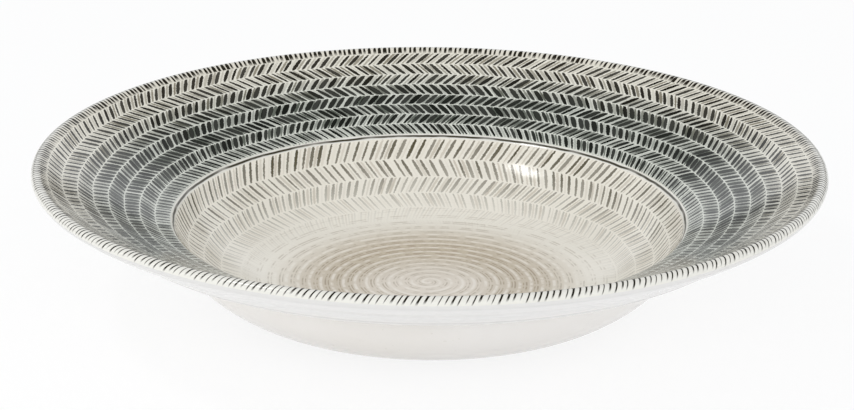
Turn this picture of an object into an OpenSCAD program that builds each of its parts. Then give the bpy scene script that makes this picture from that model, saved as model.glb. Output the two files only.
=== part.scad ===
// Wide-rimmed pasta plate: a fired clay body, its glaze and the printed films on its face.
// Origin at the centre of the foot ring, on the table. +Z is up. Millimetres.

/* [Overall] */
// Finished diameter over the lip
plate_d = 300; // [285:1:320]
// Finished height from the table to the crest of the lip
plate_h = 59.5; // [56:0.5:66]

/* [Well] */
// Diameter of the well at the top of its wall
well_d = 193; // [182:1:204]
// Height of the clay at the top of the well wall
well_z = 33.4; // [31.4:0.2:35.4]
// Slope of the well wall at its top, in degrees
well_slope = 62; // [56:1:68]
// Distance from the edge of the floor out to the top of the wall
well_wall_w = 34.5; // [31:0.5:38]
// Height of the clay at the edge of the floor
floor_edge_z = 9; // [8.4:0.2:10]
// Slope of the floor at its edge, in degrees
floor_slope = 9; // [6:1:12]
// Height of the clay at the middle of the floor
floor_z = 7.2; // [6.6:0.2:8]

/* [Shoulder and rim] */
// Width of the rounded shoulder between the well and the rim face
shoulder_w = 3.2; // [2.6:0.1:4]
// Height of the shoulder
shoulder_h = 2.9; // [2.4:0.1:3.4]
// Slope of the rim face at the shoulder, in degrees
rim_in_slope = 22; // [18:1:26]
// Slope of the rim face at the lip, in degrees
rim_out_slope = 31; // [26:1:36]
// Radius of the rounded lip, half the rim's thickness there
lip_r = 2; // [1.6:0.1:2.4]
// Length of the straight band under the rim, measured from the lip
band_w = 24.3; // [20:0.1:28]
// Thickness of the rim at the inner edge of that band
band_t = 6.5; // [5.8:0.1:7.2]
// Slope of the rim's underside inside the band, in degrees
under_slope = 17; // [14:1:20]
// How far the bend under the shoulder runs past each end of it
bend_w = 4; // [3:0.5:5]
// Thickness of the rim at the outer end of that bend
neck_t = 3.9; // [3.3:0.1:4.5]

/* [Bowl] */
// Thickness of the bowl's wall at the inner end of the bend under the shoulder
wall_t = 4.4; // [3.8:0.1:5]
// Distance from the edge of the floor out to the heel, where the wall turns under
heel_w = 15; // [13:0.5:17]
// Height of the heel
heel_z = 7.6; // [7:0.2:8.2]
// Slope of the wall at the heel, in degrees
heel_slope = 25; // [20:1:30]

/* [Foot ring] */
// Outside diameter of the foot ring's flat face
foot_d = 114; // [104:1:120]
// Width of the flat, bare face that rests on the table
foot_w = 4.6; // [3:0.2:6]
// Radius of the worn edge on each side of the flat face
foot_edge = 0.8; // [0.5:0.1:1.2]
// Width of the hollow corner where the ring meets the bowl
foot_root = 2; // [1.5:0.1:2.4]
// Height of the bowl's underside at that corner
root_z = 3.2; // [2.6:0.1:3.8]
// Slope of the bowl's underside there, in degrees
root_slope = 6; // [3:1:10]
// Depth of the recess inside the ring
recess_z = 2.8; // [2.2:0.1:3.2]

/* [Finish layers] */
// Thickness of the glaze
glaze_t = 0.3; // [0.2:0.05:0.5]
// Thickness of the printed films
print_t = 0.2; // [0.15:0.05:0.3]
// Width of the ticked edge print, from the outermost line of the lip inwards
edge_print_w = 6; // [4:0.5:9]
// Width of the dark inner rim print, outside the shoulder
dark_print_w = 20.3; // [15:0.1:25]
// Width of the bare line of glaze on the shoulder
bare_line_w = 1.8; // [1:0.1:3]
// Distance from the top of the well wall out to that line
bare_line_gap = 0.2; // [0:0.1:1]
// Diameter of the ringed print in the middle of the floor
centre_print_d = 112; // [96:1:120]

/* [Hidden] */
$fn = 180;

// Segments in a long curve, and in a tight one
long_n = 14;
tight_n = 8;
// Headings along the section: away from the axis is 0
up = 90;
down = -90;
to_axis = 180;
// How far a cutting cylinder runs past the plate
over = 1;

// The clay is smaller than the finished plate by the layers on it
skin_t = glaze_t + print_t;
clay_r = plate_d / 2 - skin_t;
clay_h = plate_h - skin_t;

// A section point with its outward normal, for travel along a heading
function station(p, heading) = [p, aside(heading)];

// Heading of travel towards the axis and downhill at a slope
function inward(slope) = slope - to_axis;

// Unit vector along a heading, and the one a quarter turn to its left
function ahead(heading) = [cos(heading), sin(heading)];
function aside(heading) = ahead(heading + up);

// Heading from one point to another
function heading_to(p, q) = atan2(q[1] - p[1], q[0] - p[0]);

// Heading of the line that leaves a clockwise circle and runs to a point
function leaving(c, r, p) = heading_to(c, p) + asin(r / norm(p - c));

// Round stretch that turns clockwise about a centre, from one heading to another
function turn(c, r, from, to, n) =
    [for (i = [0:n]) let (h = from + (to - from) * i / n) station(c + r * aside(h), h)];

// Smooth stretch between two points that leaves and arrives along the given headings
function stretch(p, from, q, to, n) =
    let (
        reach = norm(q - p) / 3,
        a = p + reach * ahead(from),
        b = q - reach * ahead(to)
    )
    [
        for (i = [0:n])
        let (
            t = i / n,
            u = 1 - t,
            at = u * u * u * p + 3 * u * u * t * a + 3 * u * t * t * b + t * t * t * q,
            way = u * u * (a - p) + 2 * u * t * (b - a) + t * t * (q - b)
        )
        station(at, atan2(way[1], way[0]))
    ];

// A run without its first station, to follow on from another run
function tail(s) = [for (i = [1:len(s) - 1]) s[i]];
// Points of a run of stations, moved out along their normals
function out(s, t) = [for (k = s) k[0] + t * k[1]];
// The same points in the other order
function back(p) = [for (i = [len(p) - 1:-1:0]) p[i]];

// Places on the face of the section
floor_mid = [0, floor_z];
well_top = [well_d / 2, well_z];
floor_edge = [well_top[0] - well_wall_w, floor_edge_z];
rim_start = well_top + [shoulder_w, shoulder_h];
lip_c = [clay_r - lip_r, clay_h - lip_r];
lip_start = lip_c + lip_r * aside(rim_out_slope);

// Section of the face, from the middle of the floor to the outermost line of the lip
face_run = concat(
    stretch(floor_mid, 0, floor_edge, floor_slope, tight_n),
    tail(stretch(floor_edge, floor_slope, well_top, well_slope, long_n)),
    tail(stretch(well_top, well_slope, rim_start, rim_in_slope, tight_n)),
    tail(stretch(rim_start, rim_in_slope, lip_start, rim_out_slope, long_n)),
    tail(turn(lip_c, lip_r, rim_out_slope, down, long_n))
);

// Places on the underside, each a thickness of clay away from the face
rim_heading = heading_to(rim_start, lip_start);
band_edge = lip_start - band_w * ahead(rim_heading) - band_t * aside(rim_heading);
neck = rim_start + bend_w * ahead(rim_heading) - neck_t * aside(rim_heading);
wall_top = well_top - bend_w * ahead(well_slope) - wall_t * aside(well_slope);
heel = [floor_edge[0] + heel_w, heel_z];
foot_r = foot_d / 2;
root = [foot_r + foot_edge + foot_root, root_z];
foot_side = [foot_r + foot_edge, foot_edge];
band_heading = leaving(lip_c, lip_r, band_edge);
lip_end = lip_c + lip_r * aside(band_heading);

// Section of the underside, from the outermost line of the lip to the foot ring's worn edge
back_run = concat(
    turn(lip_c, lip_r, down, band_heading, tight_n),
    tail(stretch(lip_end, band_heading, band_edge, band_heading, tight_n)),
    tail(stretch(band_edge, band_heading, neck, inward(under_slope), tight_n)),
    tail(stretch(neck, inward(under_slope), wall_top, inward(well_slope), tight_n)),
    tail(stretch(wall_top, inward(well_slope), heel, inward(heel_slope), long_n)),
    tail(stretch(heel, inward(heel_slope), root, inward(root_slope), tight_n)),
    tail(stretch(root, inward(root_slope), foot_side, down, tight_n))
);

// Section of the recess, from the foot ring's inner worn edge to the axis
ring_in_r = foot_r - foot_w;
ring_in_side = [ring_in_r - foot_edge, foot_edge];
recess_root = [ring_in_r - foot_edge - foot_root, recess_z];
recess_run = concat(
    stretch(ring_in_side, up, recess_root, to_axis, tight_n),
    [station([0, recess_z], to_axis)]
);
// The worn edges, round from the sides of the ring to its flat face
outer_edge_run = stretch(foot_side, down, [foot_r, 0], -to_axis, tight_n);
inner_edge_run = stretch([ring_in_r, 0], to_axis, ring_in_side, up, tight_n);

// Radii at which one print ends and the next begins
edge_print_r = plate_d / 2 - edge_print_w;
dark_print_r = rim_start[0] + dark_print_w;
line_in_r = well_top[0] + bare_line_gap;
line_out_r = line_in_r + bare_line_w;

// A layer of even thickness on a run of the section, turned about the axis
module layer(run, from, to) {
    rotate_extrude()
        polygon(concat(out(run, from), back(out(run, to))));
}

// The part of the face print between two radii
module print_ring(inner_r, outer_r) {
    intersection() {
        layer(face_run, glaze_t, skin_t);
        difference() {
            cylinder(r = outer_r, h = plate_h + over);
            if (inner_r > 0)
                translate([0, 0, -over])
                    cylinder(r = inner_r, h = plate_h + 3 * over);
        }
    }
}

// The fired clay, with the bare face of the foot ring
module stoneware_body() {
    color("#d8d1c5")
        rotate_extrude()
            polygon(concat(
                out(face_run, 0),
                out(tail(back_run), 0),
                out(tail(outer_edge_run), 0),
                out(inner_edge_run, 0),
                out(tail(recess_run), 0)
            ));
}

// Cream glaze over the whole face and round the lip
module face_glaze() {
    color("#e6e2d8")
        layer(face_run, 0, glaze_t);
}

// White glaze under the rim, down the bowl and on the outside of the foot ring
module back_glaze() {
    color("#e9e8e4")
        layer(back_run, 0, glaze_t);
}

// White glaze in the recess inside the foot ring
module recess_glaze() {
    color("#e9e8e4")
        layer(recess_run, 0, glaze_t);
}

// Film of short ticks over the lip
module edge_print() {
    color("#4a4a46")
        print_ring(edge_print_r, plate_d);
}

// Pale outer part of the rim print
module outer_rim_print() {
    color("#8f8b80")
        print_ring(dark_print_r, edge_print_r);
}

// Dark inner part of the rim print
module inner_rim_print() {
    color("#4d5254")
        print_ring(line_out_r, dark_print_r);
}

// Cream print on the wall of the well
module well_print() {
    color("#cfc8b6")
        print_ring(centre_print_d / 2, line_in_r);
}

// Taupe ringed print in the middle of the floor
module centre_print() {
    color("#b9aa98")
        print_ring(0, centre_print_d / 2);
}

stoneware_body();
face_glaze();
back_glaze();
recess_glaze();
edge_print();
outer_rim_print();
inner_rim_print();
well_print();
centre_print();
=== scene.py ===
"""Dresses a wide-rimmed pasta plate: fired clay, its glazes and the printed films on its face."""

import logging
from abc import ABC, abstractmethod
from dataclasses import dataclass, field
from enum import Enum, IntEnum
from math import cos, hypot, pi, radians, sin

import bmesh
import bpy
from mathutils import Matrix, Quaternion, Vector


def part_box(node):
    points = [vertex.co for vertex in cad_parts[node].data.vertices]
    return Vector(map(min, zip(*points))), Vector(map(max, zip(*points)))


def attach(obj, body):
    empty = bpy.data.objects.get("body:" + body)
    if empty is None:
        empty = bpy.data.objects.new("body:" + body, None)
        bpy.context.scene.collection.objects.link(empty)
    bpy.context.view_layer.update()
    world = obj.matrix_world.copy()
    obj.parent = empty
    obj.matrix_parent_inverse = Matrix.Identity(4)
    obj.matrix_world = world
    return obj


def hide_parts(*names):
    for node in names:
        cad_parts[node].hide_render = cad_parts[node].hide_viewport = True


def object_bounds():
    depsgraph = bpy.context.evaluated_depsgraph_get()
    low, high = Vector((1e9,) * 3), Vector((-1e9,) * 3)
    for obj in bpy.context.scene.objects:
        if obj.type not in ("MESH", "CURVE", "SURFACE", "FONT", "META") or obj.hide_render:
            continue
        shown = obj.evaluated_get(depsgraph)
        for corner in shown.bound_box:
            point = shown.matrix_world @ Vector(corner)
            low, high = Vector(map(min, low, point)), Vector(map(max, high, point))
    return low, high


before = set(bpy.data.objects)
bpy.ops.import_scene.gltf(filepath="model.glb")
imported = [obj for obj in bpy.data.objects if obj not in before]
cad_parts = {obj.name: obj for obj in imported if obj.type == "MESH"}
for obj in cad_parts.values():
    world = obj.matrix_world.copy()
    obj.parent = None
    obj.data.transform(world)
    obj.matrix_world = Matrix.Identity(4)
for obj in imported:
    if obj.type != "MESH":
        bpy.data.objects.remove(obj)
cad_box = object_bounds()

log = logging.getLogger("pasta_plate")

Tint = tuple[float, float, float, float]
Span = tuple[float, float]
PHOTO_WIDTH = 854
PHOTO_HEIGHT = 410
WELD = 1e-6
GLAZE_RELIEF = 0.00006
GLAZE_RIPPLE_SCALE = 160.0
GLAZE_SMEAR_SCALE = 35.0
GLAZE_SLEEK = 0.09
GLAZE_DULL = 0.19
GLAZE_IOR = 1.5
WHITE: Tint = (1.0, 1.0, 1.0, 1.0)
HALF_PAIR = 0.5


def tint(red: int, green: int, blue: int) -> Tint:
    """Turns a colour as a screen shows it into the light values that a shader takes.

    Args:
        red: Red from 0 to 255.
        green: Green from 0 to 255.
        blue: Blue from 0 to 255.

    Returns:
        The colour as linear red, green and blue, with a full alpha.
    """
    levels = [value / 255 for value in (red, green, blue)]
    linear = [v / 12.92 if v <= 0.04045 else ((v + 0.055) / 1.055) ** 2.4 for v in levels]
    return (linear[0], linear[1], linear[2], 1.0)


class Layer(Enum):
    """The plate's layers, each by the name of its CAD node."""

    BODY = "stoneware_body"
    FACE_GLAZE = "face_glaze"
    BACK_GLAZE = "back_glaze"
    RECESS_GLAZE = "recess_glaze"
    EDGE = "edge_print"
    OUTER_RIM = "outer_rim_print"
    INNER_RIM = "inner_rim_print"
    WELL = "well_print"
    CENTRE = "centre_print"


class Op(Enum):
    """The sums that a pattern is made of, by the Math node's own names."""

    ADD = "ADD"
    SUBTRACT = "SUBTRACT"
    MULTIPLY = "MULTIPLY"
    DIVIDE = "DIVIDE"
    POWER = "POWER"
    FLOOR = "FLOOR"
    ABSOLUTE = "ABSOLUTE"
    MODULO = "FLOORED_MODULO"
    MAXIMUM = "MAXIMUM"
    SINE = "SINE"
    ARCTAN2 = "ARCTAN2"


@dataclass(frozen=True)
class Signal:
    """A number that varies over a surface, with the sums that a pattern needs."""

    bench: "Bench"
    socket: bpy.types.NodeSocket

    def __add__(self, other: "Signal | float") -> "Signal":
        """Adds a signal or a number."""
        return self.bench.math(Op.ADD, self, other)

    def __sub__(self, other: "Signal | float") -> "Signal":
        """Takes a signal or a number away."""
        return self.bench.math(Op.SUBTRACT, self, other)

    def __rsub__(self, other: float) -> "Signal":
        """Takes this signal away from a number."""
        return self.bench.math(Op.SUBTRACT, other, self)

    def __mul__(self, other: "Signal | float") -> "Signal":
        """Multiplies by a signal or a number."""
        return self.bench.math(Op.MULTIPLY, self, other)

    def __truediv__(self, other: "Signal | float") -> "Signal":
        """Divides by a signal or a number."""
        return self.bench.math(Op.DIVIDE, self, other)

    def __pow__(self, other: float) -> "Signal":
        """Raises to a power."""
        return self.bench.math(Op.POWER, self, other)

    def __mod__(self, other: float) -> "Signal":
        """Gives the rest after a division, never below zero."""
        return self.bench.math(Op.MODULO, self, other)

    def __abs__(self) -> "Signal":
        """Drops the sign."""
        return self.bench.math(Op.ABSOLUTE, self)

    def floor(self) -> "Signal":
        """Rounds down."""
        return self.bench.math(Op.FLOOR, self)

    def most(self, other: "Signal | float") -> "Signal":
        """Gives the larger of the two."""
        return self.bench.math(Op.MAXIMUM, self, other)

    def rise(self, low: "Signal | float", high: "Signal | float") -> "Signal":
        """Climbs smoothly from 0 at low to 1 at high."""
        return self.bench.ease(self, low, high, 0.0, 1.0)

    def fall(self, low: "Signal | float", high: "Signal | float") -> "Signal":
        """Drops smoothly from 1 at low to 0 at high."""
        return self.bench.ease(self, low, high, 1.0, 0.0)

    def spread(self, low: float, high: float) -> "Signal":
        """Stretches a signal that runs from 0 to 1 so that it runs from low to high."""
        return self * (high - low) + low


@dataclass(frozen=True)
class Place:
    """Where a point is on the turned plate: its radius, its share of a full turn and its height."""

    radius: Signal
    turn: Signal
    height: Signal
    point: bpy.types.NodeSocket


class MixSocket(IntEnum):
    """The colour sockets of a Mix node, by their places in its lists."""

    SHARE = 0
    FIRST = 6
    SECOND = 7
    RESULT = 2


class Bench:
    """Sets out the nodes of one material and joins them up."""

    def __init__(self, name: str, tree: bpy.types.NodeTree | None = None) -> None:
        """Clears a set of nodes to work on.

        Args:
            name: The name of a new material, which the nodes belong to.
            tree: Nodes to use instead, such as the world's.
        """
        self.material = None
        self.tree = tree
        if tree is None:
            self.material = bpy.data.materials.new(name)
            self.material.use_nodes = True
            self.tree = self.material.node_tree
        self.tree.nodes.clear()

    def node(self, kind: str, **settings: object) -> bpy.types.Node:
        """Adds a node.

        Args:
            kind: The node's type without its ShaderNode prefix.
            **settings: Properties to set on the node.

        Returns:
            The new node.
        """
        made = self.tree.nodes.new("ShaderNode" + kind)
        for key, value in settings.items():
            setattr(made, key, value)
        return made

    def feed(self, socket: bpy.types.NodeSocket, value: object) -> None:
        """Joins a signal or another socket to an input, or sets a plain value on it.

        Args:
            socket: The input.
            value: A signal, an output socket, a number or a colour.
        """
        if isinstance(value, Signal):
            self.tree.links.new(value.socket, socket)
        elif isinstance(value, bpy.types.NodeSocket):
            self.tree.links.new(value, socket)
        else:
            socket.default_value = value

    def math(self, op: Op, *values: "Signal | float") -> Signal:
        """Does one sum.

        Args:
            op: Which sum.
            *values: The signals or numbers that go into it.

        Returns:
            The result.
        """
        made = self.node("Math", operation=op.value)
        for socket, value in zip(made.inputs, values):
            self.feed(socket, value)
        return Signal(self, made.outputs[0])

    def ease(self, value: Signal, low: object, high: object, start: float, end: float) -> Signal:
        """Maps a signal smoothly from one span on to another.

        Args:
            value: The signal.
            low: Where the change begins.
            high: Where the change ends.
            start: The result at low.
            end: The result at high.

        Returns:
            The mapped signal.
        """
        made = self.node("MapRange", interpolation_type="SMOOTHSTEP")
        for socket, item in zip(made.inputs, (value, low, high, start, end)):
            self.feed(socket, item)
        return Signal(self, made.outputs[0])

    def mix(self, share: Signal, first: object, second: object) -> bpy.types.NodeSocket:
        """Blends two colours.

        Args:
            share: How much of the second colour shows.
            first: A colour or a colour socket.
            second: A colour or a colour socket.

        Returns:
            The blended colour.
        """
        made = self.node("Mix", data_type="RGBA")
        self.feed(made.inputs[MixSocket.SHARE], share)
        self.feed(made.inputs[MixSocket.FIRST], first)
        self.feed(made.inputs[MixSocket.SECOND], second)
        return made.outputs[MixSocket.RESULT]

    def vector(self, x: object, y: object, z: object) -> bpy.types.NodeSocket:
        """Puts three signals or numbers together as one vector.

        Args:
            x: The first part.
            y: The second part.
            z: The third part.

        Returns:
            The vector.
        """
        made = self.node("CombineXYZ")
        for socket, value in zip(made.inputs, (x, y, z)):
            self.feed(socket, value)
        return made.outputs[0]

    def parts(self, vector: bpy.types.NodeSocket) -> tuple[Signal, Signal, Signal]:
        """Takes a vector or a colour apart.

        Args:
            vector: The vector or colour.

        Returns:
            Its three parts.
        """
        made = self.node("SeparateXYZ")
        self.feed(made.inputs[0], vector)
        x, y, z = (Signal(self, socket) for socket in made.outputs)
        return x, y, z

    def luck(self, x: Signal, y: Signal | float, seed: float) -> tuple[Signal, Signal, Signal]:
        """Draws three numbers from 0 to 1 for each cell of a grid, the same ones on each run.

        Args:
            x: The cell's first count.
            y: The cell's second count.
            seed: Sets one pattern apart from the next.

        Returns:
            The three numbers.
        """
        made = self.node("TexWhiteNoise", noise_dimensions="3D")
        self.feed(made.inputs["Vector"], self.vector(x, y, seed))
        return self.parts(made.outputs["Color"])

    def cloud(self, point: object, scale: float, detail: float = 3.0) -> Signal:
        """Gives a soft noise about 0.5.

        Args:
            point: The vector that it is read at.
            scale: Its fineness, in waves for each unit of the vector.
            detail: How many finer waves it holds.

        Returns:
            The noise.
        """
        made = self.node("TexNoise")
        self.feed(made.inputs["Vector"], point)
        made.inputs["Scale"].default_value = scale
        made.inputs["Detail"].default_value = detail
        return Signal(self, made.outputs[0])

    def place(self) -> Place:
        """Reads where a point is on the plate from its Object coordinates.

        Returns:
            The place.
        """
        spot = self.node("TexCoord").outputs["Object"]
        x, y, z = self.parts(spot)
        radius = (x * x + y * y) ** 0.5
        turn = self.math(Op.ARCTAN2, y, x) / (2 * pi) + 0.5
        return Place(radius, turn, z, spot)

    def surface(
        self, colour: object, roughness: Signal, relief: Signal, depth: float, gloss: float
    ) -> None:
        """Ends the material with its shader.

        Args:
            colour: The surface's colour.
            roughness: Its roughness.
            relief: The height of its fine relief, from 0 to 1.
            depth: How deep that relief is, in metres.
            gloss: The index of refraction.
        """
        bump = self.node("Bump")
        bump.inputs["Distance"].default_value = depth
        self.feed(bump.inputs["Height"], relief)
        shader = self.node("BsdfPrincipled")
        self.feed(shader.inputs["Base Color"], colour)
        self.feed(shader.inputs["Roughness"], roughness)
        self.feed(shader.inputs["Normal"], bump.outputs[0])
        shader.inputs["IOR"].default_value = gloss
        end = self.node("OutputMaterial")
        self.feed(end.inputs["Surface"], shader.outputs[0])


@dataclass(frozen=True)
class Band:
    """A ring of the plate's face, measured straight across from its inner edge to its outer edge."""

    inner_r: float
    inner_z: float
    outer_r: float
    outer_z: float

    @classmethod
    def across(cls, inner: Layer, outer: Layer) -> "Band":
        """Measures the band from the inner edge of one CAD layer to the outer edge of another.

        Args:
            inner: The layer with the band's inner edge.
            outer: The layer with its outer edge.

        Returns:
            The band.
        """
        near = min(cls.edge_points(inner))
        far = max(cls.edge_points(outer))
        return cls(near[0], near[1], far[0], far[1])

    @staticmethod
    def edge_points(layer: Layer) -> list[tuple[float, float]]:
        """Lists the radius and height of each vertex of a CAD layer."""
        return [(hypot(v.co.x, v.co.y), v.co.z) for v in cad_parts[layer.value].data.vertices]

    def share(self, place: Place) -> Signal:
        """Gives how far across the band a point is.

        Args:
            place: Where the point is on the plate.

        Returns:
            A share that is 0 at the inner edge and 1 at the outer edge.
        """
        wide = self.outer_r - self.inner_r
        high = self.outer_z - self.inner_z
        length = wide * wide + high * high
        out = (place.radius - self.inner_r) * (wide / length)
        up = (place.height - self.inner_z) * (high / length)
        return out + up


@dataclass(frozen=True)
class Herringbone:
    """Rings of slim brush strokes that lean one way and then the other, in two tones by turns.

    The lean, the strays and the widths are shares of the room that a pair of strokes has in its ring. The
    gap is the share of a ring that is bare at each end of a stroke.
    """

    rings: int
    count: int
    seed: float
    lean: float = 1.3
    stray: float = 0.12
    soft: float = 0.035
    ragged: float = 0.20
    fray_scale: float = 1500.0
    wander: float = 0.20
    wander_scale: float = 40.0
    slim: float = 0.35
    stout: float = 0.65
    roundness: float = 0.30
    gap: float = 0.05

    def strokes(
        self, bench: Bench, share: Signal, place: Place, width: Signal, start: float = 0.0
    ) -> tuple[Signal, Signal]:
        """Lays the strokes of one tone over a band.

        Args:
            bench: The material's bench.
            share: The place across the band, from 0 to 1.
            place: Where the point is on the plate.
            width: How wide a stroke is at its belly.
            start: How far round its pair a stroke stands.

        Returns:
            The strokes, and a number drawn for each one, both from 0 to 1.
        """
        sway = bench.cloud(place.point, self.wander_scale, 1.0) - 0.5
        course = share * self.rings + sway * self.wander
        ring = course.floor()
        climb = course - ring
        bend = abs(course % 2.0 - 1.0) * self.lean
        spot = place.turn * self.count + bend + (ring % 2.0) * HALF_PAIR + start
        cell = spot.floor()
        size, shift, load = bench.luck(cell % self.count, ring, self.seed + start)
        fray = (bench.cloud(place.point, self.fray_scale, 1.0) - 0.5) * self.ragged
        side = abs(spot - cell - 0.5 + (shift - 0.5) * self.stray + fray)
        belly = (climb * (1.0 - climb) * 4.0).most(0.0) ** self.roundness
        half = belly * size.spread(self.slim, self.stout) * width
        ends = climb.rise(0.0, self.gap) * climb.fall(1.0 - self.gap, 1.0)
        return (side - half).fall(-self.soft, self.soft) * ends, load


class Finish(ABC):
    """A finish that a layer of the plate can take."""

    @abstractmethod
    def paint(self, bench: Bench, place: Place) -> None:
        """Sets out the nodes of the finish.

        Args:
            bench: The material's bench.
            place: Where the point is on the plate.
        """

    def material(self, name: str) -> bpy.types.Material:
        """Makes the finish as a material.

        Args:
            name: The material's name.

        Returns:
            The material.
        """
        bench = Bench(name)
        self.paint(bench, bench.place())
        return bench.material

    @staticmethod
    def fire(bench: Bench, place: Place, colour: object, sunk: Signal) -> None:
        """Ends a finish as a fired glaze: glossy, faintly uneven and a little sunk where it holds colour.

        Args:
            bench: The material's bench.
            place: Where the point is on the plate.
            colour: The glaze's colour.
            sunk: How far the surface lies under its own level, as a share of the relief.
        """
        ripple = bench.cloud(place.point, GLAZE_RIPPLE_SCALE)
        smear = bench.cloud(place.point, GLAZE_SMEAR_SCALE).spread(GLAZE_SLEEK, GLAZE_DULL)
        bench.surface(colour, smear, ripple - sunk, GLAZE_RELIEF, GLAZE_IOR)


@dataclass(frozen=True)
class BareClay(Finish):
    """Unglazed stoneware, sandy and dry to the touch, with turning lines and darker grains."""

    clay: Tint = tint(216, 208, 195)
    sand: Tint = tint(184, 172, 154)
    grain: Tint = tint(138, 124, 106)
    tone_scale: float = 90.0
    sand_span: Span = (0.35, 0.75)
    grain_scale: float = 1400.0
    grain_span: Span = (0.63, 0.72)
    grain_share: float = 0.7
    tooth_scale: float = 2600.0
    line_scale: float = 9000.0
    line_wander: float = 6.0
    tone_relief: float = 0.4
    line_relief: float = 0.15
    tooth_relief: float = 0.6
    dryness: Span = (0.74, 0.94)
    relief: float = 0.00008
    ior: float = 1.45

    def paint(self, bench: Bench, place: Place) -> None:
        """Sets out the nodes of the clay.

        Args:
            bench: The material's bench.
            place: Where the point is on the plate.
        """
        tone = bench.cloud(place.point, self.tone_scale, detail=5.0)
        grains = bench.cloud(place.point, self.grain_scale, detail=1.0).rise(*self.grain_span)
        lines = bench.math(Op.SINE, place.radius * self.line_scale + tone * self.line_wander)
        tooth = bench.cloud(place.point, self.tooth_scale, detail=2.0)
        colour = bench.mix(tone.rise(*self.sand_span), self.clay, self.sand)
        colour = bench.mix(grains * self.grain_share, colour, self.grain)
        height = tone * self.tone_relief + lines * self.line_relief + tooth * self.tooth_relief
        bench.surface(colour, tone.spread(*self.dryness), height, self.relief, self.ior)


@dataclass(frozen=True)
class PlainGlaze(Finish):
    """A clear glossy glaze with soft pooling and a few pinholes."""

    thick: Tint = tint(238, 234, 228)
    thin: Tint = tint(241, 238, 234)
    fleck: Tint = tint(222, 217, 207)
    pool_scale: float = 14.0
    pool_span: Span = (0.35, 0.68)
    hole_scale: float = 520.0
    hole_span: Span = (0.80, 0.86)
    hole_share: float = 0.4
    hole_depth: float = 0.5

    def coat(self, bench: Bench, place: Place) -> tuple[bpy.types.NodeSocket, Signal]:
        """Gives the glaze's colour and its pinholes.

        Args:
            bench: The material's bench.
            place: Where the point is on the plate.

        Returns:
            The colour, and the pinholes from 0 to 1.
        """
        pool = bench.cloud(place.point, self.pool_scale, detail=4.0)
        holes = bench.cloud(place.point, self.hole_scale, detail=0.0).rise(*self.hole_span)
        colour = bench.mix(pool.rise(*self.pool_span), self.thick, self.thin)
        return bench.mix(holes * self.hole_share, colour, self.fleck), holes

    def paint(self, bench: Bench, place: Place) -> None:
        """Sets out the nodes of the glaze.

        Args:
            bench: The material's bench.
            place: Where the point is on the plate.
        """
        colour, holes = self.coat(bench, place)
        self.fire(bench, place, colour, holes * self.hole_depth)


@dataclass(frozen=True)
class BackGlaze(PlainGlaze):
    """The glaze of the back, cool under the rim, with turning lines, a band of painted shade along the lip
    and a thin line of painted shade along the crease under the rim.

    The rim begins between the heights low and high. The lip's painted shade lies between two depths
    measured down from its crest.
    """

    low: float = 0.0
    high: float = 0.0
    # The height of the thin line of painted shade at the crease under the rim.
    line_place: float = 0.0
    crest: float = 0.0
    rim: Tint = tint(228, 227, 225)
    rim_share: float = 0.8
    # The line colour paints the turned lines, and also the painted shade along the lip and at the crease.
    line: Tint = tint(196, 194, 190)
    # Painted shade along the lip: where it begins and ends below the crest, and how strong it is.
    lip_shade_top: float = 0.0035
    lip_shade_foot: float = 0.0060
    lip_shade_share: float = 0.38
    # Painted shade at the crease under the rim: a thin dark line, its core and edge in metres.
    shade_line_core: float = 0.00025
    shade_line_edge: float = 0.00080
    shade_line_share: float = 0.50
    line_scale: float = 5200.0
    line_wander: float = 4.0
    line_span: Span = (0.75, 1.0)
    line_share: float = 0.09
    breadth_scale: float = 40.0
    breadth_span: Span = (0.35, 0.65)

    def coat(self, bench: Bench, place: Place) -> tuple[bpy.types.NodeSocket, Signal]:
        """Gives the glaze's colour and its pinholes.

        Args:
            bench: The material's bench.
            place: Where the point is on the plate.

        Returns:
            The colour, and the pinholes from 0 to 1.
        """
        colour, holes = super().coat(bench, place)
        up = place.height.rise(self.low, self.high)
        # Painted shade: a darker band just under the lip's crest.
        lip = place.height.rise(self.crest - self.lip_shade_foot, self.crest - self.lip_shade_top)
        colour = bench.mix(up * self.rim_share, colour, self.rim)
        colour = bench.mix(lip * self.lip_shade_share, colour, self.line)
        breadth = bench.cloud(place.point, self.breadth_scale, detail=2.0)
        wave = bench.math(Op.SINE, place.height * self.line_scale + breadth * self.line_wander)
        turned = wave.rise(*self.line_span) * up * breadth.rise(*self.breadth_span)
        # Painted shade: a thin dark line along the crease where the rim's band turns in to the bowl.
        painted_crease_shade = abs(place.height - self.line_place).fall(self.shade_line_core, self.shade_line_edge)
        # The turned lines and the painted shade at the crease, both in the line colour.
        turned_lines_and_shade = (turned * self.line_share).most(painted_crease_shade * self.shade_line_share)
        return bench.mix(turned_lines_and_shade, colour, self.line), holes


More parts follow.
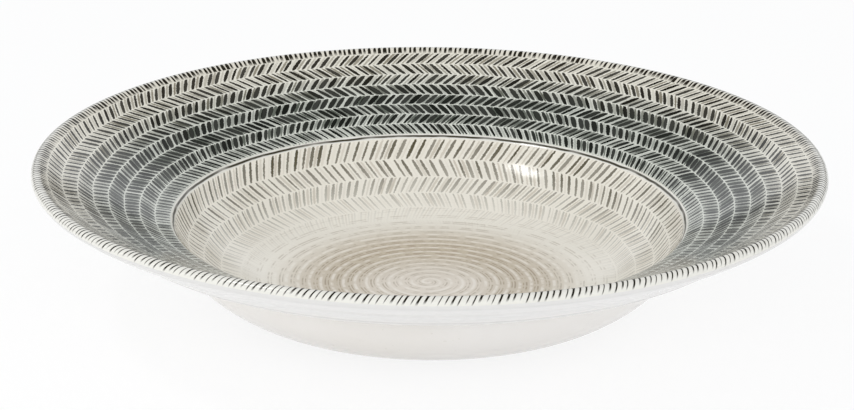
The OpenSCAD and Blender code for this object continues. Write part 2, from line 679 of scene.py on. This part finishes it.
@dataclass(frozen=True)
class RimPrint(Finish):
    """A herringbone of dark and grey strokes, which deepens from the lip in to the shoulder.

    The strokes grow slimmer over the open span next to the shoulder, by the open share at the most.
    """

    band: Band
    cream: Tint = tint(230, 226, 213)
    taupe: Tint = tint(140, 133, 116)
    chalk: Tint = tint(216, 218, 208)
    slate: Tint = tint(82, 88, 78)
    soot: Tint = tint(36, 32, 21)
    pine: Tint = tint(18, 22, 15)
    deep_span: Span = (0.40, 0.95)
    open_span: Span = (0.02, 0.34)
    open_share: float = 0.30
    wash_width: Span = (0.32, 0.44)
    wash_load: Span = (0.2, 1.0)
    brush_width: Span = (0.42, 0.72)
    brush_load: Span = (0.94, 1.0)
    ink_depth: float = 0.25
    bone: Herringbone = Herringbone(rings=8, count=210, seed=3.0)

    def paint(self, bench: Bench, place: Place) -> None:
        """Sets out the nodes of the rim print.

        Args:
            bench: The material's bench.
            place: Where the point is on the plate.
        """
        share = self.band.share(place)
        deep = share.fall(*self.deep_span)
        slim = 1.0 - share.fall(*self.open_span) * self.open_share
        wash_width = deep.spread(*self.wash_width) * slim
        wash, shade = self.bone.strokes(bench, share, place, wash_width, start=HALF_PAIR)
        brush, load = self.bone.strokes(bench, share, place, deep.spread(*self.brush_width) * slim)
        ink = brush * load.spread(*self.brush_load)
        grey = bench.mix(deep, self.taupe, self.slate)
        dark = bench.mix(deep, self.soot, self.pine)
        colour = bench.mix(deep, self.cream, self.chalk)
        colour = bench.mix(wash * shade.spread(*self.wash_load), colour, grey)
        colour = bench.mix(ink, colour, dark)
        self.fire(bench, place, colour, ink * self.ink_depth)


@dataclass(frozen=True)
class LineGlaze(PlainGlaze):
    """The glaze in cream, which shows on the shoulder between the prints, with a thin drawn line."""

    line_r: float = 0.0
    line_core: float = 0.0002
    line_edge: float = 0.0005
    line_sway: float = 0.0007
    sway_scale: float = 90.0
    load_span: Span = (0.05, 0.55)
    load: Span = (0.4, 1.0)
    thick: Tint = tint(228, 225, 216)
    thin: Tint = tint(234, 232, 225)
    ink: Tint = tint(66, 62, 48)

    def coat(self, bench: Bench, place: Place) -> tuple[bpy.types.NodeSocket, Signal]:
        """Gives the glaze's colour and its pinholes.

        Args:
            bench: The material's bench.
            place: Where the point is on the plate.

        Returns:
            The colour, and the pinholes from 0 to 1.
        """
        colour, holes = super().coat(bench, place)
        sway = bench.cloud(place.point, self.sway_scale, detail=2.0)
        away = abs(place.radius + (sway - 0.5) * self.line_sway - self.line_r)
        load = sway.rise(*self.load_span).spread(*self.load)
        drawn = away.fall(self.line_core, self.line_edge) * load
        return bench.mix(drawn, colour, self.ink), holes


@dataclass(frozen=True)
class EdgePrint(Finish):
    """Pale glaze on the lip with a rope edge, where even dark ticks lean as they go over it.

    The lengths are in metres. A tick leans by the same share over the width inside the crest and over the
    depth under it. It is broad on the inside of the lip, and ends a little under the crest.
    """

    inner_r: float
    crest: float
    cream: Tint = tint(224, 219, 205)
    shell: Tint = tint(224, 222, 214)
    soot: Tint = tint(36, 32, 21)
    ticks: int = 420
    seed: float = 41.0
    lean: float = 0.8
    stray: float = 0.2
    soft: float = 0.05
    half_width: Span = (0.08, 0.19)
    broadening: Span = (1.0, 2.2)
    width: float = 0.006
    depth: float = 0.004
    broad_to: float = 0.0016
    slim_from: float = 0.0042
    start_before: float = 0.0002
    start_after: float = 0.0004
    end_depth: float = 0.0030
    end_spread: float = 0.0012
    end_fade: float = 0.0016
    ink_depth: float = 0.25

    def paint(self, bench: Bench, place: Place) -> None:
        """Sets out the nodes of the ticked edge.

        Args:
            bench: The material's bench.
            place: Where the point is on the plate.
        """
        way = (place.radius - self.inner_r) / self.width + (self.crest - place.height) / self.depth
        spot = place.turn * self.ticks + way * self.lean
        cell = spot.floor()
        size, shift, length = bench.luck(cell % self.ticks, 0.0, self.seed)
        inner = place.radius.fall(self.inner_r + self.broad_to, self.inner_r + self.slim_from)
        half = size.spread(*self.half_width) * inner.spread(*self.broadening)
        side = abs(spot - cell - 0.5 + (shift - 0.5) * self.stray) - half
        top = place.radius.rise(self.inner_r - self.start_before, self.inner_r + self.start_after)
        end = length * self.end_spread + self.crest - self.end_depth
        tick = side.fall(-self.soft, self.soft) * (place.height - end).rise(0.0, self.end_fade) * top
        colour = bench.mix(inner, self.shell, self.cream)
        colour = bench.mix(tick, colour, self.soot)
        self.fire(bench, place, colour, tick * self.ink_depth)


@dataclass(frozen=True)
class WellPrint(Finish):
    """A thin olive herringbone down the wall of the well, which pales towards a turned, taupe floor.

    The floor's spiral has one light line and two dark ones in each turn, placed by shares of its pitch.
    """

    band: Band
    cream: Tint = tint(238, 233, 221)
    olive: Tint = tint(80, 73, 50)
    fawn: Tint = tint(220, 210, 195)
    tan: Tint = tint(197, 184, 163)
    shell: Tint = tint(236, 229, 218)
    umber: Tint = tint(156, 140, 116)
    pitch: float = 0.0044
    pale_r: float = 0.012
    full_r: float = 0.036
    light_at: float = 0.5
    light_span: Span = (0.06, 0.20)
    light_load: Span = (0.3, 0.6)
    light_share: float = 0.7
    first_at: float = 0.08
    first_span: Span = (0.03, 0.12)
    second_at: float = 0.82
    second_span: Span = (0.02, 0.08)
    dark_load: Span = (0.40, 0.58)
    dark_share: Span = (0.25, 0.75)
    wander_scale: float = 260.0
    floor_span: Span = (-0.30, 0.22)
    trace_load: Span = (0.42, 0.60)
    trace_span: Span = (0.05, 0.50)
    trace_share: float = 0.40
    wall_span: Span = (-0.05, 0.55)
    wash_width: Span = (0.18, 0.30)
    wash_share: float = 0.42
    brush_width: Span = (0.16, 0.35)
    brush_load: Span = (0.7, 1.0)
    ink_span: Span = (0.05, 1.0)
    ink_depth: float = 0.2
    bone: Herringbone = Herringbone(rings=6, count=150, seed=23.0, lean=1.1, stray=0.2)

    def ground(self, bench: Bench, place: Place, share: Signal) -> bpy.types.NodeSocket:
        """Gives the colour under the strokes: the floor's turned spiral, which runs out up the wall.

        Args:
            bench: The material's bench.
            place: Where the point is on the plate.
            share: The place across the wall, from 0 to 1, and below 0 on the floor.

        Returns:
            The colour.
        """
        spiral = place.radius / self.pitch + place.turn
        line_place = spiral - spiral.floor()
        wander = bench.cloud(place.point, self.wander_scale)
        light = abs(line_place - self.light_at).fall(*self.light_span) * wander.rise(*self.light_load)
        first = abs(line_place - self.first_at).fall(*self.first_span)
        second = abs(line_place - self.second_at).fall(*self.second_span)
        dark = first.most(second)
        middle = place.radius.rise(self.pale_r, self.full_r)
        worn = dark * wander.rise(*self.dark_load) * middle.spread(*self.dark_share)
        floor = bench.mix(middle, self.fawn, self.tan)
        floor = bench.mix(light * self.light_share, floor, self.shell)
        floor = bench.mix(worn, floor, self.umber)
        colour = bench.mix(share.rise(*self.floor_span), floor, self.cream)
        trace = dark * wander.rise(*self.trace_load) * share.fall(*self.trace_span) * self.trace_share
        return bench.mix(trace, colour, self.umber)

    def paint(self, bench: Bench, place: Place) -> None:
        """Sets out the nodes of the print in the well and on its floor.

        Args:
            bench: The material's bench.
            place: Where the point is on the plate.
        """
        share = self.band.share(place)
        wall = share.rise(*self.wall_span)
        wash_width = wall.spread(*self.wash_width)
        wash, shade = self.bone.strokes(bench, share, place, wash_width, start=HALF_PAIR)
        brush, load = self.bone.strokes(bench, share, place, wall.spread(*self.brush_width))
        ink = brush * load.spread(*self.brush_load) * share.rise(*self.ink_span)
        colour = self.ground(bench, place, share)
        colour = bench.mix(wash * shade * wall * self.wash_share, colour, self.umber)
        colour = bench.mix(ink, colour, self.olive)
        self.fire(bench, place, colour, ink * self.ink_depth)


@dataclass
class TurnedLayer:
    """One layer of the plate, turned afresh and finer from the section of its CAD node."""

    layer: Layer
    name: str
    slot: str
    finish: Finish
    steps: int = 288
    sharp: float = radians(40)
    piece: bpy.types.Object | None = field(default=None, init=False)

    def section(self) -> bmesh.types.BMesh:
        """Cuts the half section out of the CAD node's mesh.

        Returns:
            A mesh of edges in the half plane where X is positive and Y is zero.
        """
        half = bmesh.new()
        half.from_mesh(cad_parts[self.layer.value].data)
        bmesh.ops.remove_doubles(half, verts=half.verts, dist=WELD)
        for normal, both in (((0, 1, 0), True), ((1, 0, 0), False)):
            bmesh.ops.bisect_plane(
                half,
                geom=half.verts[:] + half.edges[:] + half.faces[:],
                dist=WELD,
                plane_co=(0, 0, 0),
                plane_no=normal,
                clear_inner=True,
                clear_outer=both,
            )
        return half

    def build(self) -> bpy.types.Object:
        """Spins the half section through a quarter, doubles that twice, and so closes the ring.

        Returns:
            The piece.
        """
        lathe = self.section()
        quarter = pi / 2
        bmesh.ops.spin(
            lathe,
            geom=lathe.verts[:] + lathe.edges[:],
            cent=(0, 0, 0),
            axis=(0, 0, 1),
            angle=quarter,
            steps=self.steps // 4,
        )
        for angle in (quarter, 2 * quarter):
            twin = bmesh.ops.duplicate(lathe, geom=lathe.verts[:] + lathe.edges[:] + lathe.faces[:])
            verts = [item for item in twin["geom"] if isinstance(item, bmesh.types.BMVert)]
            bmesh.ops.rotate(lathe, verts=verts, cent=(0, 0, 0), matrix=Matrix.Rotation(angle, 3, "Z"))
        bmesh.ops.remove_doubles(lathe, verts=lathe.verts, dist=WELD)
        bmesh.ops.recalc_face_normals(lathe, faces=lathe.faces)
        mesh = bpy.data.meshes.new(self.name)
        lathe.to_mesh(mesh)
        lathe.free()
        mesh.shade_smooth()
        mesh.set_sharp_from_angle(angle=self.sharp)
        self.piece = bpy.data.objects.new(self.name, mesh)
        bpy.context.scene.collection.objects.link(self.piece)
        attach(self.piece, "root")
        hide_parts(self.layer.value)
        return self.piece

    def dress(self) -> None:
        """Gives the piece its finish."""
        self.piece.data.materials.append(self.finish.material(self.slot))


@dataclass
class Plate:
    """The whole plate, layer on layer. The painted shade line at the crease sits at a share of its height.
    """

    # Where the painted shade line at the crease sits, as a share of the plate's height.
    line_place: float = 0.6925

    def back(self) -> BackGlaze:
        """Sets out the glaze of the back by the heights of the layers above it.

        Returns:
            The glaze.
        """
        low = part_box(Layer.WELL.value)[1].z
        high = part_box(Layer.INNER_RIM.value)[1].z
        crest = cad_box[1].z
        return BackGlaze(low=low, high=high, line_place=crest * self.line_place, crest=crest)

    def layers(self) -> list[TurnedLayer]:
        """Lists the plate's layers from the clay outwards.

        Returns:
            The layers, not yet built.
        """
        well = Band.across(Layer.WELL, Layer.WELL)
        rim = Band.across(Layer.INNER_RIM, Layer.OUTER_RIM)
        line = LineGlaze(line_r=(well.outer_r + rim.inner_r) / 2)
        edge = EdgePrint(rim.outer_r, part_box(Layer.EDGE.value)[1].z)
        return [
            TurnedLayer(Layer.BODY, "clay_body", "bare_stoneware", BareClay()),
            TurnedLayer(Layer.FACE_GLAZE, "glaze_on_face", "cream_glaze", line),
            TurnedLayer(Layer.BACK_GLAZE, "glaze_on_back", "white_glaze", self.back()),
            TurnedLayer(Layer.RECESS_GLAZE, "glaze_in_recess", "white_glaze", PlainGlaze()),
            TurnedLayer(Layer.EDGE, "print_on_edge", "edge_print", edge),
            TurnedLayer(Layer.OUTER_RIM, "print_on_outer_rim", "outer_rim_print", RimPrint(rim)),
            TurnedLayer(Layer.INNER_RIM, "print_on_inner_rim", "inner_rim_print", RimPrint(rim)),
            TurnedLayer(Layer.WELL, "print_in_well", "well_print", WellPrint(well)),
            TurnedLayer(Layer.CENTRE, "print_in_centre", "centre_print", WellPrint(well)),
        ]

    def build(self) -> None:
        """Builds and dresses each layer, and reports it."""
        for layer in self.layers():
            piece = layer.build()
            layer.dress()
            log.info("%s: %d faces, for %s", piece.name, len(piece.data.polygons), layer.layer.value)


@dataclass
class Softbox:
    """A studio lamp that looks at the plate, with its angles in degrees and its sizes in metres."""

    name: str
    side: float
    rise: float
    away: float
    width: float
    height: float
    level: float
    mirrored: bool = True
    spread: float = 180.0

    def build(self, aim: Vector) -> None:
        """Hangs the lamp.

        Args:
            aim: The point that it looks at.
        """
        data = bpy.data.lights.new(self.name, "AREA")
        data.shape = "RECTANGLE"
        data.size = self.width
        data.size_y = self.height
        data.spread = radians(self.spread)
        data.energy = self.level * pi * self.width * self.height
        lamp = bpy.data.objects.new(self.name, data)
        lamp.visible_glossy = self.mirrored
        turn = radians(self.side)
        lift = radians(self.rise)
        back = Vector((sin(turn) * cos(lift), -cos(turn) * cos(lift), sin(lift)))
        lamp.location = aim + back * self.away
        lamp.rotation_mode = "QUATERNION"
        lamp.rotation_quaternion = (-back).to_track_quat("-Z", "Y")
        bpy.context.scene.collection.objects.link(lamp)


@dataclass
class Card(Softbox):
    """A card behind a grid, which keeps its light off the floor at its foot. Reflections don't see it."""

    mirrored: bool = False
    spread: float = 120.0


@dataclass
class Studio:
    """A white sweep in even soft light, with a key lamp, a front card and two low side cards.

    Reflections see a bright horizon between a dim ceiling and a dim sill. Lift is how far the floor shows
    as plain white to the camera, and shine is the share of that lift that reflections see.
    """

    half: float = 6.0
    paper: Tint = (0.95, 0.95, 0.95, 1.0)
    lift: float = 0.86
    shine: float = 0.90
    fill: float = 0.775
    surround: Tint = (0.95, 0.97, 1.0, 1.0)
    horizon: float = 1.0
    ceiling: float = 0.10
    ceiling_rise: Span = (0.36, 0.64)
    sill: float = 0.10
    sill_rise: Span = (0.12, 0.26)
    lamps: tuple[Softbox, ...] = (
        Softbox("key_lamp", side=-71.5, rise=57.0, away=1.25, width=0.29, height=0.14, level=15.0),
        Card("front_card", side=0.0, rise=25.0, away=1.15, width=1.80, height=0.40, level=1.03),
        Card("left_card", side=-78.0, rise=6.0, away=1.15, width=1.00, height=0.28, level=0.91),
        Card("right_card", side=78.0, rise=6.0, away=1.15, width=1.00, height=0.28, level=0.73),
    )

    def floor(self) -> None:
        """Lays the white floor, which keeps the plate's shadow."""
        sheet = bmesh.new()
        bmesh.ops.create_grid(sheet, x_segments=1, y_segments=1, size=self.half)
        mesh = bpy.data.meshes.new("floor")
        sheet.to_mesh(mesh)
        sheet.free()
        floor = bpy.data.objects.new("floor", mesh)
        bpy.context.scene.collection.objects.link(floor)
        bench = Bench("paper")
        matt = bench.node("BsdfDiffuse")
        matt.inputs["Color"].default_value = self.paper
        glow = bench.node("Emission")
        rays = bench.node("LightPath")
        seen = Signal(bench, rays.outputs["Is Camera Ray"])
        seen = seen.most(Signal(bench, rays.outputs["Is Transmission Ray"]))
        seen = seen.most(Signal(bench, rays.outputs["Is Glossy Ray"]) * self.shine)
        blend = bench.node("MixShader")
        bench.feed(blend.inputs[0], seen * self.lift)
        bench.feed(blend.inputs[1], matt.outputs[0])
        bench.feed(blend.inputs[2], glow.outputs[0])
        end = bench.node("OutputMaterial")
        bench.feed(end.inputs["Surface"], blend.outputs[0])
        mesh.materials.append(bench.material)

    def sky(self) -> None:
        """Makes the world an even soft light, white to the camera, with a dim ceiling in reflections."""
        world = bpy.data.worlds.new("studio")
        world.use_nodes = True
        bench = Bench("studio", world.node_tree)
        _, _, up = bench.parts(bench.node("TexCoord").outputs["Generated"])
        rays = bench.node("LightPath")
        seen = Signal(bench, rays.outputs["Is Camera Ray"])
        seen = seen.most(Signal(bench, rays.outputs["Is Transmission Ray"]))
        mirrored = Signal(bench, rays.outputs["Is Glossy Ray"])
        ceiling = bench.ease(up, *self.ceiling_rise, self.horizon, self.ceiling)
        ceiling = ceiling * bench.ease(up, *self.sill_rise, self.sill, 1.0)
        level = (ceiling - self.fill) * mirrored + self.fill
        light = bench.node("Background")
        bench.feed(light.inputs["Color"], bench.mix(seen, self.surround, WHITE))
        bench.feed(light.inputs["Strength"], level.most(seen))
        end = bench.node("OutputWorld")
        bench.feed(end.inputs["Surface"], light.outputs[0])
        bpy.context.scene.world = world

    def build(self, aim: Vector) -> None:
        """Sets up the floor, the world and the lamps.

        Args:
            aim: The point that the lamps look at.
        """
        self.floor()
        self.sky()
        for lamp in self.lamps:
            lamp.build(aim)
        bpy.context.scene.view_settings.view_transform = "Standard"


@dataclass
class PhotoCamera:
    """The camera at the photo's viewing angle. The lens and the middle are in pixels of the photo."""

    aim_share: float = 0.5462
    distance: float = 1.0
    rise: float = radians(19.78)
    roll: float = radians(0.45)
    sensor: float = 36.0
    lens: float = 2611.0
    middle: tuple[float, float] = (429.3, 221.3)

    def aim(self) -> Vector:
        """Gives the point on the plate's axis that the camera looks at."""
        return Vector((0.0, 0.0, cad_box[1].z * self.aim_share))

    def build(self) -> None:
        """Sets up the camera and makes it the scene's own."""
        data = bpy.data.cameras.new("photo_camera")
        data.sensor_width = self.sensor
        data.lens = self.lens / PHOTO_WIDTH * data.sensor_width
        data.shift_x = (PHOTO_WIDTH / 2 - self.middle[0]) / PHOTO_WIDTH
        data.shift_y = (self.middle[1] - PHOTO_HEIGHT / 2) / PHOTO_WIDTH
        camera = bpy.data.objects.new("photo_camera", data)
        ahead = Vector((0.0, cos(self.rise), -sin(self.rise)))
        camera.location = self.aim() - ahead * self.distance
        camera.rotation_mode = "QUATERNION"
        camera.rotation_quaternion = ahead.to_track_quat("-Z", "Y") @ Quaternion((0, 0, 1), self.roll)
        bpy.context.scene.collection.objects.link(camera)
        bpy.context.scene.camera = camera


def main() -> None:
    """Builds the camera, the studio and the plate."""
    logging.basicConfig(level=logging.INFO, format="%(name)s: %(message)s")
    camera = PhotoCamera()
    camera.build()
    Studio().build(camera.aim())
    Plate().build()


if __name__ == "__main__":
    main()
